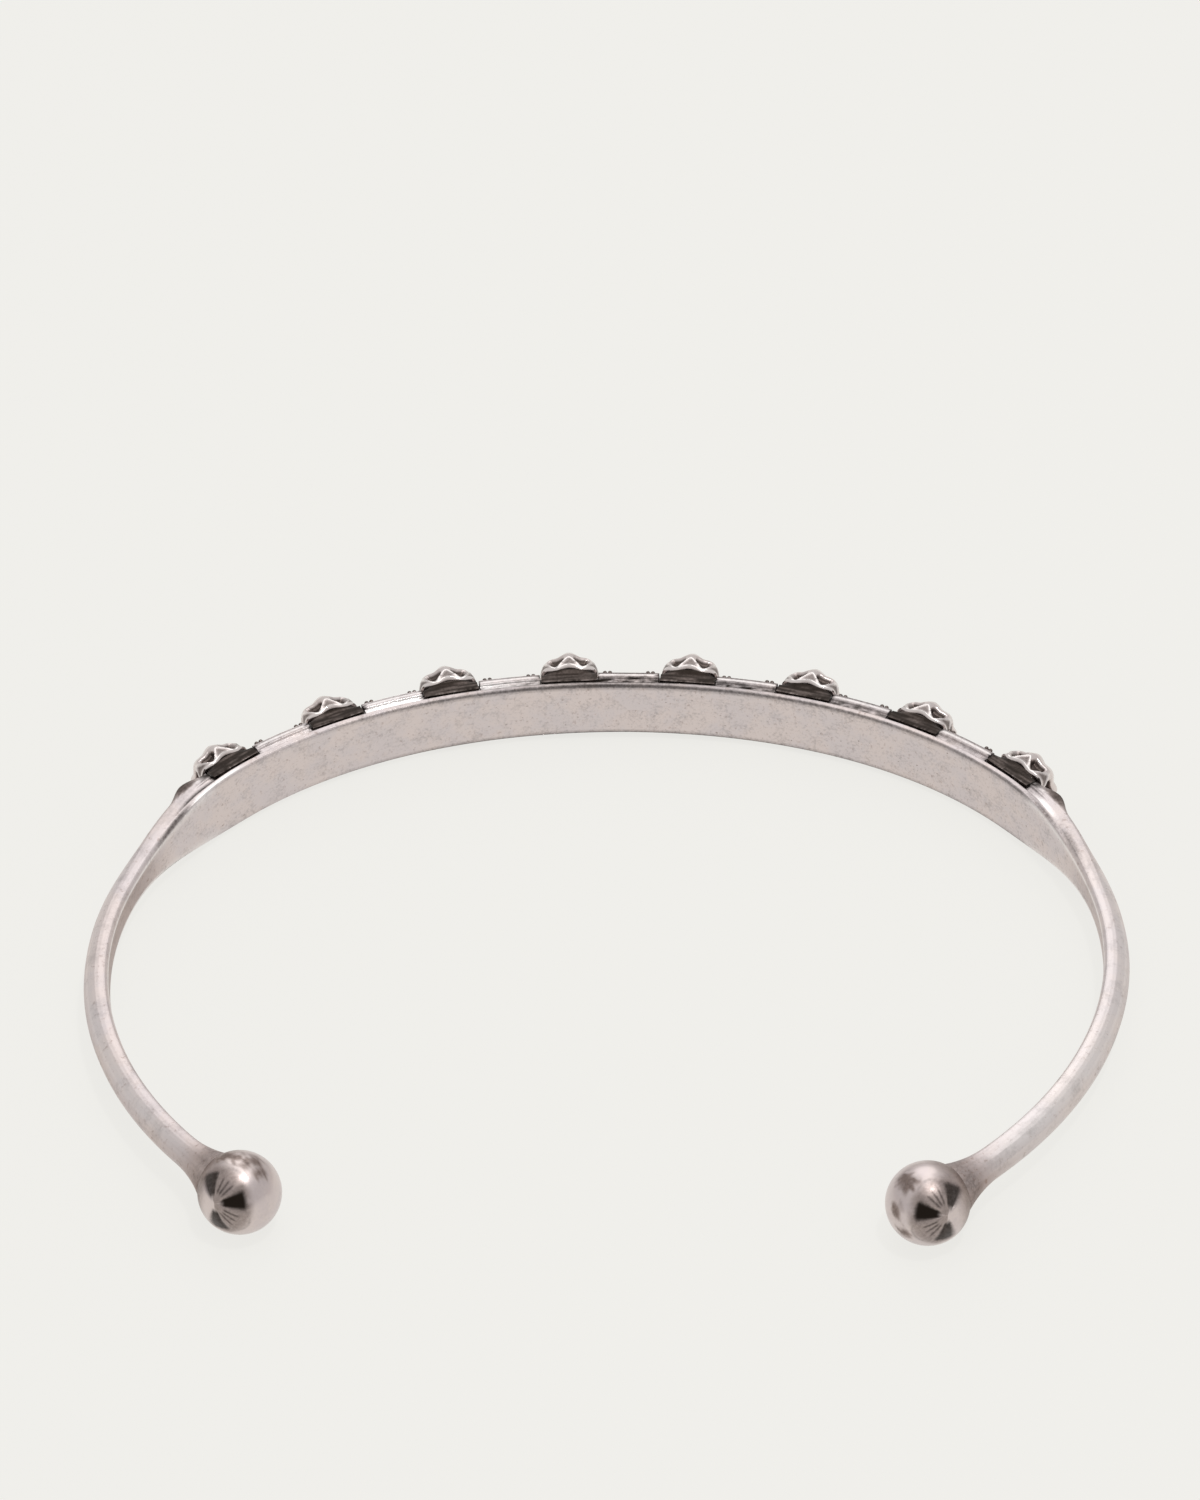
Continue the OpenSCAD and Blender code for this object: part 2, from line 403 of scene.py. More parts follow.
# %% [markdown]
# ## Section of the band and of the wire
# Cut across the band and it is a flat strip: smooth inside, with a groove along each edge and two
# rails on the outer face. Cut across an arm and it is a wire, flat inside and round outside. Grooves
# could be cut with booleans, but those leave untidy faces. Here both sections have twelve corners on
# their upper half, so one melts into the other. Corner 0 is the middle of the inner face, 1 and 2 its
# bevelled edge, 4 and 5 the bottom of the groove, 6 and 7 the side of the rail, 8 and 9 the top of the
# rail, and 11 the middle of the outer face.

# %% Twelve corners of half a section
rail_rise, rail_width, edge_bevel = 0.22, 0.5, 0.12
strip_width, groove_width, groove_depth, groove_wall = 0.4, 0.5, 0.14, 0.08
ridge_at, ridge_half, ridge_rise = 28.5, 1.5, 0.45
relief_fade = (26.6, 29.0)
notch_edge = collar_length / 2 + np.array([0.03, 0.07])
notch_depth = 0.24
corner_angles = np.array([0, 24, 38, 54, 68, 80, 92, 106, 120, 136, 156, 180])
flat_share = 0.35
kept_inside = 0.985


def band_corners(s):
    """The band's section. Under a collar its rails are gone and its edges are notched."""
    a = np.abs(s)
    high = half_height(a)
    under = 1 - ease(*notch_edge, from_stud(s))
    relief = 1 - ease(*relief_fade, a)
    ridge = ridge_rise * (1 - ease(0, ridge_half, np.abs(a - ridge_at)))
    top = thickness(a) + ridge - rail_rise * under
    field = thickness(a) + ridge - rail_rise * np.maximum(relief, under)
    sunk = high - mix(groove_depth * relief, notch_depth, under)
    lip = mix(high, sunk, under)
    zero = np.zeros_like(a)
    groove_end = zero + strip_width + groove_width
    depth = [zero, zero, zero + edge_bevel, zero + strip_width, zero + strip_width + groove_wall,
             groove_end - groove_wall, groove_end, top - edge_bevel, top, top, field, field]
    height = [zero, high - edge_bevel, high, high, sunk, sunk, lip, lip, lip - edge_bevel,
              high - rail_width, high - rail_width - edge_bevel, zero]
    return np.stack([np.stack(depth, -1), np.stack(height, -1)], -1)


def wire_corners(s):
    """Flat on the inside and round on the outside, a hair inside the solid wire."""
    a, t = np.abs(s)[:, None], np.radians(corner_angles)
    flat = flat_share * thickness(a)
    c, turned_in = np.clip(np.cos(t), 0, 1), t < math.pi / 2
    round_side = flat - (kept_inside * thickness(a) - flat) * np.cos(t)
    depth = np.where(turned_in, flat * (1 - c ** 0.5), round_side)
    rise = np.where(turned_in, np.sin(t) ** 0.5, np.sin(t))
    return np.stack([depth, half_height(a) * rise], -1)


print("corners on half a section:", len(corner_angles))

# %% [markdown]
# ## Filed edges
# No edge on worn silver is sharp. A Bevel modifier could round them, but it would not know which edges
# belong to the fine grooves. So each side between two corners is shared out into finer points, and each
# corner is pulled halfway to the line between its neighbours, as filing and wear do.

# %% Finer points between the corners
cuts = np.array([0, 0.14, 0.32, 0.5, 0.68, 0.86])
last_corner = len(corner_angles) - 1
corner_share = np.append((np.arange(last_corner)[:, None] + cuts).ravel(), last_corner)


def finer(corners):
    """Share the corners out into finer points and ease each corner."""
    low = np.minimum(corner_share.astype(int), last_corner - 1)
    part = (corner_share - low)[:, None]
    points = mix(corners[:, low], corners[:, low + 1], part)
    at_corner = np.arange(len(cuts), len(corner_share) - 1, len(cuts))
    beside = (points[:, at_corner - 1] + points[:, at_corner + 1]) / 2
    points[:, at_corner] = mix(points[:, at_corner], beside, 0.5)
    return points


def round_finer(radius):
    """A circle with as many points as finer() gives, so that it joins the wire."""
    t = np.radians(np.interp(corner_share, np.arange(last_corner + 1), corner_angles))
    return np.stack([arm_thickness / 2 - radius * np.cos(t), radius * np.sin(t)], -1)


def whole(half):
    """The upper half of a section, then the same points underneath on the way back."""
    under = half[:, -2:0:-1] * np.array([1, -1])
    return np.concatenate([half, under], axis=1)


print("points around a section:", 2 * len(corner_share) - 2)

# %% [markdown]
# ## Roughness that is drawn, not scattered
# Casting and filing leave grain of a certain size. Blender's own noise texture could give it, but here
# the same grain has to move points and to place the black. This small function gives soft random
# values on a grid, from a fixed seed, so that the same dents come back every time.

# %% Seeded grain
grain_size = 64


def grain(x, y, seed):
    """Smooth random values from 0 to 1 on a grid of one unit."""
    table = np.random.default_rng(seed).random((grain_size, grain_size))
    i, j = np.floor(x).astype(int), np.floor(y).astype(int)
    u, v = ease(0, 1, x - i), ease(0, 1, y - j)
    next_i, next_j = (i + 1) % grain_size, (j + 1) % grain_size
    i, j = i % grain_size, j % grain_size
    return mix(mix(table[i, j], table[next_i, j], u), mix(table[i, next_j], table[next_i, next_j], u), v)


print("grain at a few places:", np.round(grain(np.arange(3) * 0.7, np.arange(3) * 0.3, 1), 2))

# %% [markdown]
# ## The cuff: band and arms
# The real cuff is one soldered piece of silver. Its skin is laid as rings of points along the bend,
# close together where the band has fine work and further apart on the plain arms. At the tips the
# wire widens towards the ball like the solder that holds it there, and its last ring lies inside the
# ball. A swept curve would be quicker, but its section couldn't change from band to wire.

# %% Rings of the cuff
fine_step, arm_step = 0.2, 0.36
first_ring, fine_until = 0.1, 31.0
rounding = (27.5, 36)
flare_from, flare_to, flare_radius = half_length - 4.6, half_length - 1.85, 1.5
last_ring = half_length - 1.5
notch_ends = np.abs(stud_places[:, None] + np.concatenate([notch_edge, -notch_edge])).ravel()
band_run = np.concatenate([np.arange(first_ring, fine_until, fine_step), notch_ends])
band_run = np.unique(np.round(band_run, 4))
arm_run = np.arange(band_run[-1] + arm_step, flare_to - 0.1, arm_step)
half_run = np.concatenate([band_run, arm_run, [flare_to, last_ring]])
run = np.concatenate([-half_run[::-1], half_run])
ring_at = np.abs(run)[:, None, None]
half = mix(finer(band_corners(run)), finer(wire_corners(run)), ease(*rounding, ring_at))
flare = np.clip((ring_at - flare_from) / (flare_to - flare_from), 0, 1) ** 2
half = mix(half, round_finer(flare_radius), flare)
section = whole(half)
print("rings along the cuff:", len(run))

# %% [markdown]
# ## The ragged groove
# The band is not flawless. The groove along its edge is ragged where the two cast skins meet, and a
# thin scribed line runs beside the rail. A bump in the material would stay flat at the outline, so the
# points themselves are moved: up and down by the grain in the groove, and down in the scribed line.
# From here on, `along` is a point's length along the strip and `corner` its place around the section.

# %% Move the points of the groove
share = np.concatenate([corner_share, corner_share[-2:0:-1]])
halves = np.concatenate([np.ones(len(corner_share)), -np.ones(len(corner_share) - 2)])
along, corner = np.meshgrid(run, share, indexing="ij")
up_or_down = np.broadcast_to(halves, along.shape)
from_middle = np.abs(along)
groove_corner, groove_spread, ragged_by = 4.5, 1.6, 0.085
scribe_depth, scribe_half_width, scribed_by = 1.29, 0.07, 0.05
own_grain = 20 * (up_or_down > 0)
on_band = 1 - ease(band_half + 1.5, band_half + 3.0, from_middle)
in_groove = bump_at(corner, groove_corner, groove_spread) * on_band
coarse = grain(along * 2.1 + 9, corner * 1.3 + own_grain, 3)
ragged = coarse + 0.5 * grain(along * 5.3, corner * 2.1 + own_grain, 4) - 0.75
on_rail_side = stretch(corner, (6.0, 6.2), (7.0, 7.3)) * on_band
scribed = bump_at(section[..., 0], scribe_depth, scribe_half_width) * on_rail_side
section[..., 1] += up_or_down * (ragged_by * ragged * in_groove - scribed_by * scribed)
print("groove moves up to, millimetres:", round(float(np.abs(ragged_by * ragged * in_groove).max()), 3))

# %% [markdown]
# ## Ink across the top of the band
# Oxide fills what the polishing cloth doesn't reach. A cavity map could guess that from the shape, but
# the real cloth was uneven: the middle was rubbed least, so its groove is nearly black. A strip to the
# left of it is painted bright as a highlight. So five rows of numbers say how black the top of the band
# is, from its inner edge to its outer edge, at five places along it.

# %% Black across the top
ink_depths = [0, 0.06, 0.15, 0.19, 0.30, 0.33, 0.44, 0.48, 0.74,
              0.79, 0.94, 0.98, 1.03, 1.22, 1.26, 1.34, 1.38, 1.45]
ink_places = [-21, -12, -2, 13, 21]
ink_rows = [
    [0.15, 0.15, 0.10, 0.05, 0, 0, 0, 0.05, 0.05, 0, 0.1, 0.75, 0.15, 0.05, 0.45, 0.45, 0.05, 0],
    [0.60, 0.70, 0.15, 0.05, 0.05, 0.1, 0, 0, 0, 0, 0, 0.40, 0.10, 0.05, 0.40, 0.40, 0.05, 0],
    [0.7, 0.9, 0.9, 0.5, 0.45, 0.9, 0.95, 0.8, 0.75, 0.7, 0.6, 0.7, 0.1, 0.05, 0.75, 0.75, 0.1, 0.1],
    [0.55, 0.65, 0.15, 0.05, 0.05, 0.15, 0.15, 0.50, 0.65, 0.6, 0.35, 0.6, 0.1, 0.1, 0.6, 0.6, 0.1, 0.1],
    [0.45, 0.55, 0.15, 0.05, 0, 0.1, 0.05, 0.15, 0.25, 0.35, 0.25, 0.55, 0.1, 0.1, 0.5, 0.5, 0.1, 0.1]]
strip_highlight_places, strip_highlight_shares = [-24, -19, -14, -8, -3], [0.1, 0.3, 1, 1, 0]
depth_in = section[..., 0]
top_ink = np.zeros(along.shape)
for row_number, row in enumerate(ink_rows):
    nearness = np.interp(along, ink_places, np.eye(len(ink_places))[row_number])
    top_ink += nearness * np.interp(depth_in, ink_depths, row)
off_inner_face = ease(0.9, 1.1, corner)
# painted highlight: a strip of the top, left of the middle, is made bright
strip_highlight = np.interp(along, strip_highlight_places, strip_highlight_shares) * off_inner_face
strip_highlight = strip_highlight * stretch(depth_in, (0.36, 0.46), (0.86, 0.95))
print("whitest place along the top:", round(float(strip_highlight.max()), 2))

# %% [markdown]
# ## Crumbled black
# Old oxide doesn't end in a line, it flakes. The seeded grain from above is laid over the black, with
# the largest crumbs at the bottom of the groove and hardly any on the strip with the painted highlight.
# The same grain frays the edge of the black under each collar. The outer face between the rails is
# black all along.

# %% Black of the band
crumbs = grain(along * 3.6, depth_in * 8 + own_grain, 6) - 0.5
crumbled = (0.25 + top_ink) * (1 - 0.9 * ease(-12, -19, along)) * (1 - 0.6 * strip_highlight)
top_ink = top_ink + bump_at(depth_in, 0.68, 0.5) * (0.45 * ragged + 1.15 * crumbs) * crumbled
on_top = off_inner_face * (1 - ease(7.6, 8.0, corner))
under_collar = 1 - ease(collar_length / 2 - 0.1, collar_length / 2 + 0.3, from_stud(along) + 0.5 * crumbs)
notch_ink = ease(3.4, 4.0, corner + 1.2 * crumbs) * under_collar
outer_ink = 0.8 * ease(8.9, 9.6, corner)
band_ink = np.maximum.reduce([top_ink * on_top, notch_ink, outer_ink]) * on_band
print("share of the cuff in black:", round(float((band_ink > 0.5).mean()), 3))

# %% [markdown]
# ## Black on the arms
# Beyond the last stud the grooves end. A small leaf stands on the outer face there, dark on its side
# and light on its tip. A dark line of painted shade runs on beside the inner edge, with a soft patch of
# painted shade beside the glint on the right arm, and a little black stays in the solder by the ball.
# The two arms differ, so each has its own line.

# %% Leaf, painted shade lines and solder
leaf = ease(1.2, 1.36, depth_in) * bump_at(from_middle, ridge_at, 1.9)
leaf_ink = 0.75 * leaf * (1 - 0.7 * ease(8.0, 8.8, corner))
band_end_ink = 0.9 * bump_at(from_middle, band_half + 1.6, 0.6) * ease(5.6, 6.4, corner)
# painted shade: dark lines and patches beside the inner edge, next to the glints
left_start = bump_at(corner, 4.0, 0.9) * stretch(from_middle, (25.5, 27.0), (29.0, 31.0))
left_end = bump_at(corner, 2.3, 1.5) * stretch(from_middle, (28.8, 30.4), (31.5, 34.0))
right_start = bump_at(corner, 2.4, 1.0) * bump_at(from_middle, 29.2, 2.8)
right_end = 0.7 * bump_at(corner, 4.0, 2.4) * bump_at(from_middle, 32.0, 2.6)
left_shade_line = 0.85 * np.maximum(left_start, left_end)
right_shade_line = 0.6375 * np.maximum(right_start, right_end)
arm_shade_line = np.where(along < 0, left_shade_line, right_shade_line)
solder_grain = ease(0.1, 0.5, grain(along * 1.1, corner * 0.6, 16))
solder_ink = 0.3 * ease(half_length - 3.4, half_length - 2.4, from_middle) * solder_grain
oxide = np.clip(np.maximum.reduce([band_ink, leaf_ink, band_end_ink, arm_shade_line, solder_ink]), 0, 1)
print("blackest place on an arm:", round(float(oxide[from_middle > ridge_at].max()), 2))

# %% [markdown]
# ## Bright places
# What the cloth and the sleeve reach is bright: the rails. The rest of the bright places are painted
# highlights: the strip on the top of the band, the crisp edge beside the flat inner face, a glint where
# each arm turns round, and a painted sheen along the arms. A real highlight moves with the light, so
# most of them are left to the lamps. These few are painted brighter and smoother, so they stay bright
# from every side.

# %% Polish and painted highlights of the cuff
past_band = ease(band_half + 1.2, band_half + 2.6, from_middle)
# painted highlights: a bright line along the edge beside the inner face, and a glint where each arm starts
edge_highlight = 0.6 * bump_at(corner, 1.25, 0.6) * past_band * (1 - ease(46, 56, from_middle))
rail_shine = 0.6 * bump_at(corner, 6.6, 0.6) * on_band
left_glint = bump_at(corner, 2.1, 1.0) * stretch(from_middle, (24.5, 26), (28.5, 29.5))
right_glint = bump_at(corner, 4.2, 1.1) * bump_at(from_middle, 28.8, 1.6)
glint = np.where(along < 0, left_glint, right_glint)
on_arm = stretch(from_middle, (31, 36), (half_length - 6, half_length - 3))
# painted sheen along the arms, standing for the bright room they reflect; stronger on the right arm and
# towards the balls
arm_sheen_growth = mix(1, 1.9, ease(44, 52, from_middle))
arm_sheen_side = bump_at(corner, 8.3, 2.2)
arm_sheen = np.where(along < 0, 0.14 * arm_sheen_side, 0.14 + 0.12 * arm_sheen_side)
arm_sheen = arm_sheen * ease(2.0, 3.5, corner) * on_arm * arm_sheen_growth
shine_and_highlight = np.maximum.reduce([edge_highlight, glint, strip_highlight * on_band, rail_shine, arm_sheen])
polish = np.clip(shine_and_highlight, 0, 1) * (1 - oxide)
print("share of the cuff that shines:", round(float((polish > 0.5).mean()), 3))

# %% [markdown]
# ## Brown places
# Old solder and skin leave a brown stain. It is strongest on the inner side of the arms, more on the
# left one than on the right, and in streaks near the balls. The outer side of each arm gets a faint
# brown painted shade. The mark called inside tells the recipe where the smooth inner face is, since
# only there its small pits and rusty dust can be seen.

# %% Tarnish and painted shade of the cuff
inner_face = 1 - off_inner_face
inside = inner_face * mix(0.65, 1, ease(-12, 14, along))
inner_arm = inner_face * stretch(from_middle, (31, 36), (50, 58))
brown_side = mix(0.65, 0.35, ease(-5, 5, along))
# painted shade: the outer side of the arms is darkened with brown
outer_side_shade = 0.22 * ease(9.0, 10.5, corner) * ease(30, 34, from_middle)
streak = grain(along * 0.55, corner * 2.2, 5)
near_ball = ease(half_length - 8, half_length - 3, from_middle) * (0.6 + 0.4 * inner_face)
at_ball = 0.4 * ease(half_length - 4.5, half_length - 2.6, from_middle)
brown = brown_side * inner_arm + near_ball * (0.16 + 0.3 * streak) + at_ball + 0.8 * leaf + outer_side_shade
tarnish = np.clip(brown, 0, 1)
print("share of the cuff that is brown:", round(float((tarnish > 0.3).mean()), 3))

# %% [markdown]
# ## Engraving of a ball
# Each ball is engraved on the side that shows when the bangle is worn. Two petals spread from one
# point, with a black wedge between them, one on either side, and three dark veins on each petal. The
# pattern could be painted flat and wrapped round the ball, but it would pinch at the poles. So the
# ball's own grid starts where the petals start, and the pattern is drawn with two angles: how far
# away a place is from that point, and in which direction about it.

# %% Pattern of a ball
wedge_turns, petal_turns = (-10, 95, -115), (42, -62)
wedge_end, tip_angle = 46, 54
fine_away, coarse_away, pattern_ends = 1.25, 2.9, 62
away_turns = np.concatenate([np.arange(0.5, pattern_ends, fine_away),
                             np.arange(pattern_ends + 0.5, 180, coarse_away)])
about_turns = np.arange(0, 360, 2.4)
away, about = np.meshgrid(away_turns, about_turns, indexing="ij")


def off_turn(turns):
    """Degrees from each direction on the grid to the nearest of some turns."""
    return np.min([np.abs((about - turn + 180) % 360 - 180) for turn in turns], axis=0)


off_wedge, off_petal = off_turn(wedge_turns), off_turn(petal_turns)
wedge = (1 - ease(14, 32, off_wedge)) * stretch(away, (4, 16), (wedge_end - 4, wedge_end + 6))
wedge = wedge * mix(1, 0.9, ease(40, 60, off_turn(wedge_turns[:1])))
vein_turn, vein_half_width = 14, 7
off_vein = np.minimum(off_petal, np.abs(off_petal - vein_turn)) * np.clip(away / 34, 0, 1.3)
vein = (1 - ease(0, vein_half_width, off_vein)) * stretch(away, (8, 20), (34, 46))
vein = vein * (1 - ease(20, 26, off_petal))
tip_line = bump_at(away, tip_angle + 2 - 0.012 * off_petal ** 2, 5.0) * (1 - ease(26, 34, off_petal))
engraved = np.maximum.reduce([wedge, 0.75 * vein, 0.3 * tip_line])
on_petals = (1 - ease(wedge_end, tip_angle + 6, away)) * (1 - ease(38, 62, off_petal))
print("dark share of a ball:", round(float((engraved > 0.5).mean()), 3))

# %% [markdown]
# ## The ball itself
# The ball is turned from solid silver and soldered on, so the metal round the joint is stained brown,
# and a few blots of old oxide sit on its top. A UV sphere could be used, but its poles would fall in
# odd places. These rings round the start of the petals put most points where the engraving is. The
# left ball is the right one in a mirror, with its blots in other places.

# %% Points and marks of a ball
petal_start = np.array([0.48, -0.79, 0.377])
blot_places = {
    -1: [(-0.33, 0.30, 0.90), (0.0, 0.15, 0.98), (0.24, 0.02, 0.97), (0.42, 0.12, 0.90),
         (0.55, -0.18, 0.82)],
    1: [(-0.41, -0.28, 0.87), (-0.55, -0.10, 0.83), (-0.73, -0.60, 0.34), (-0.55, -0.81, -0.18)]}
ball_inset, wedge_cut = 0.02, 0.09


def unit(vector):
    return vector / np.linalg.norm(vector)


def mirrored(side, grid):
    """A mirrored grid runs the other way about, so that its faces still look outwards."""
    return grid if side > 0 else grid[:, ::-1]


def ball_directions(side):
    """Directions of a polar grid round the point where the petals start."""
    start = unit(petal_start * np.array([side, 1, 1]))
    to_gap = np.array([-side, 0, 0])
    to_gap = unit(to_gap - start * np.dot(to_gap, start))
    upward = np.cross(start, to_gap) * side
    t, p = np.radians(away)[..., None], np.radians(about)[..., None]
    return mirrored(side, np.cos(t) * start + np.sin(t) * (np.cos(p) * to_gap + np.sin(p) * upward))


def degrees_between(directions, direction):
    return np.degrees(np.arccos(np.clip(directions @ unit(np.array(direction)), -1, 1)))


def ball_part(side):
    """Points and marks of one ball, pushed in where it is cut."""
    out = ball_directions(side)
    centre = placed(side * half_length, arm_thickness / 2, 0.0)
    before = placed(side * (half_length - 0.5), arm_thickness / 2, 0.0)
    joint = 1 - ease(42, 84, degrees_between(out, before - centre))
    slant, rise = out[..., 0] + 0.6 * out[..., 1], out[..., 2] - 0.8 * out[..., 1]
    patch = grain(slant * 4.1 + 9, rise * 4.1 + 5 * side, 12)
    fine = grain(slant * 12 + 30, rise * 12 + 7 * side, 13)
    from_blot = np.min([degrees_between(out, place) for place in blot_places[side]], axis=0)
    blot = 1 - ease(3, 17, from_blot + 12 * (fine - 0.5))
    petals = mirrored(side, on_petals)
    ink = np.maximum.reduce([mirrored(side, engraved), 0.42 * blot, 0.55 * joint * mix(0.4, 1, patch),
                             0.32 * petals])
    radius = ball_radius - ball_inset - wedge_cut * mirrored(side, wedge)
    points = centre + out * radius[..., None]
    plain = np.zeros(radius.shape)
    return {"points": points, "oxide": np.clip(ink, 0, 1), "polish": plain, "inside": plain,
            "tarnish": np.clip(0.10 + 0.45 * petals + 0.8 * blot + 0.9 * joint, 0, 1), "run": points}


balls = [ball_part(-1), ball_part(1)]
print("rings and points of a ball:", balls[0]["oxide"].shape)

# %% [markdown]
# ## Join the rings
# Every part so far is a grid of points: rings along the wire, rings around a ball. A grid is joined by
# faces and closed at both ends, and the parts of a piece go into one mesh, as soldered silver is one
# skin. Each point takes its marks along: black oxide in the cuts and painted shade, brown tarnish by the
# solder and some painted shade, polish on the worn places and painted highlights. The mark called run
# is a place measured along the cuff or in a stud's own frame, so that the scratches follow the metal
# and not the world.

# %% Turn grids into a piece
MARKS = ("oxide", "tarnish", "polish", "inside", "run")


def joined_faces(rings, count):
    """Quads between neighbouring rings, and a face to close each end."""
    i, j = np.meshgrid(np.arange(rings - 1), np.arange(count), indexing="ij")
    k = (j + 1) % count
    quads = np.stack([i * count + j, (i + 1) * count + j, (i + 1) * count + k, i * count + k], -1)
    first = list(range(count))
    last = [(rings - 1) * count + j for j in reversed(range(count))]
    return quads.reshape(-1, 4).tolist() + [first, last]


def new_piece(name, parts, material, node):
    """One mesh made of several grids, in the bangle's frame, that stands for a node of the solid model."""
    faces, start = [], 0
    for part in parts:
        rings, count = part["points"].shape[:2]
        faces += [[start + corner for corner in face] for face in joined_faces(rings, count)]
        start += rings * count
    points = np.concatenate([part["points"].reshape(-1, 3) for part in parts])
    mesh = bpy.data.meshes.new(name)
    mesh.from_pydata((points * mm).tolist(), [], faces)
    for key in MARKS:
        kind, field = ("FLOAT_VECTOR", "vector") if key == "run" else ("FLOAT", "value")
        values = np.concatenate([np.asarray(part[key], np.float32).ravel() for part in parts])
        mesh.attributes.new(key, kind, "POINT").data.foreach_set(field, values)
    mesh.polygons.foreach_set("use_smooth", [True] * len(mesh.polygons))
    mesh.set_sharp_from_angle(angle=math.radians(50))
    mesh.materials.append(material)
    piece = bpy.data.objects.new(name, mesh)
    bpy.context.scene.collection.objects.link(piece)
    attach(piece, "root")
    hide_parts(node)
    return piece


print("marks on every point:", MARKS)

# %% [markdown]
# ## Make the cuff
# Band, arms and balls are one soldered piece, so they are one mesh here too. The balls get the
# smoother silver as a second material, face by face, which costs nothing and keeps the piece whole.

# %% The cuff
tube = {"points": placed(run[:, None], section[..., 0], section[..., 1]),
        "oxide": oxide, "tarnish": tarnish, "polish": polish, "inside": inside,
        "run": np.stack([along, section[..., 1], section[..., 0]], -1)}
cuff = new_piece("cuff_dressed", [tube] + balls, cuff_silver, "cuff")
cuff.data.materials.append(ball_silver)
tube_faces = len(joined_faces(*section.shape[:2]))
for face in cuff.data.polygons:
    face.material_index = int(face.index >= tube_faces)
print("cuff faces:", len(cuff.data.polygons))

# %% [markdown]
# ## Heads of the studs
# Eight cast studs sit on the outer face. Each has a squarish dome with eight petals, cast with deep
# pits between the petals and then rubbed, so its pits are dark; its ridges, rim and top get a painted
# highlight. It could be sculpted, but eight equal petals are easier to count than to sculpt. A head is
# drawn on a polar grid: rings climb from the foot to the middle, with the radius pulled in where a pit
# is. The table says how wide and how tall the head is at each step of the climb.

# %% Shape of a head
petal_count = 8
head_turns = np.radians(np.arange(0, 360, 2.0))
climb, facing = np.meshgrid(np.linspace(0, 1, 52), head_turns, indexing="ij")
petal = ((1 + np.cos(petal_count * (facing - math.pi / 2))) / 2) ** 0.8
# climb, share of the radius, share of the height on a petal, share of the height between petals
head_profile = np.array([
    (0.00, 0.70, 0.00, 0.00),
    (0.06, 0.965, 0.01, 0.00),
    (0.12, 1.00, 0.10, 0.08),
    (0.20, 1.00, 0.27, 0.24),
    (0.32, 0.98, 0.49, 0.45),
    (0.44, 0.93, 0.72, 0.69),
    (0.56, 0.83, 0.90, 0.86),
    (0.68, 0.68, 0.98, 0.92),
    (0.80, 0.47, 0.96, 0.88),
    (0.88, 0.30, 0.89, 0.86),
    (0.92, 0.24, 0.93, 0.93),
    (0.96, 0.15, 1.00, 1.00),
    (1.00, 0.02, 1.00, 1.00)])
head_radius, on_petal, between = [np.interp(climb, head_profile[:, 0], column)
                                  for column in head_profile.T[1:]]
head_share = mix(between, on_petal, petal)
squareness = np.interp(climb, [0.20, 0.44, 0.60], [3.2, 2.3, 1.8])
squared = ((np.abs(np.cos(facing)) / rosette_half_length) ** squareness
           + (np.abs(np.sin(facing)) / rosette_half_height) ** squareness) ** (-1 / squareness)
outline = squared * mix(mix(0.95, 0.93, ease(0.2, 0.45, climb)), 1.0, petal)
petal_reach = 180 / petal_count
off_ridge = np.abs((np.degrees(facing) - 90 + petal_reach) % (2 * petal_reach) - petal_reach)
print("points on a head:", climb.size)

# %% [markdown]
# ## Ridges, facets and pits
# Seen from the side each petal is a small triangle: two ridges with a painted highlight that meet
# on the dome, a flat facet between them, and a deep pit on either side. The ridges are the lines that a
# caster's knife left in the wax. They depend on two measures: the climb, and the angle off the middle
# of the petal.

# %% Points and marks of a head
pit_depth, ridge_rise_on_head, facet_depth, rim_rise, petal_lift = 0.38, 0.03, 0.06, 0.02, 0.15
pit_climb, ridge_half_width, rim_climb = (0.14, 0.20), 4.0, 0.11


def stud_head(tall):
    """Points and marks of a head, in the stud's own frame: x along the band, y outwards, z up."""
    edge = mix(21, 0, np.clip((climb - 0.10) / 0.25, 0, 1))
    ridge = bump_at(off_ridge, edge, ridge_half_width) * stretch(climb, (0.09, 0.14), (0.34, 0.44))
    facet = (1 - ease(edge - 5, edge - 1, off_ridge)) * stretch(climb, pit_climb, (0.32, 0.39))
    pit_side = np.maximum(edge + 1.5, 7.5)
    pit = ease(pit_side, pit_side + 4.5, off_ridge) * stretch(climb, pit_climb, (0.33, 0.42))
    rim = bump_at(climb, rim_climb, 0.05)
    moved = -pit_depth * pit + ridge_rise_on_head * ridge - facet_depth * facet + rim_rise * rim
    radius = kept_inside * head_radius * outline + moved
    lift = petal_lift * petal * bump_at(climb, 0.06, 0.12)
    depth = band_thickness + collar_rise + kept_inside * tall * head_share + lift
    # black: oxide in the pits and on the facets; under the foot of the head and in the creases between the
    # petals it is oxide and painted shade
    ink = np.maximum.reduce([
        0.80 * ease(0.10, 0.50, pit),
        0.80 * (1 - ease(0.03, 0.07, climb)),
        0.70 * bump_at(climb, 0.87, 0.08),
        0.60 * facet,
        0.40 * bump_at(off_ridge, petal_reach, 4) * ease(0.6, 0.7, climb)])
    # painted highlight on the ridges, on the rim and on the top of the dome
    shine_and_highlight = np.clip(0.5 * ridge + 0.55 * rim + 0.12 * ease(0.42, 0.55, climb), 0, 1) * (1 - ink)
    return np.stack([radius * np.cos(facing), depth, radius * np.sin(facing)], -1), ink, shine_and_highlight


print("reach of one petal, degrees:", 2 * petal_reach)

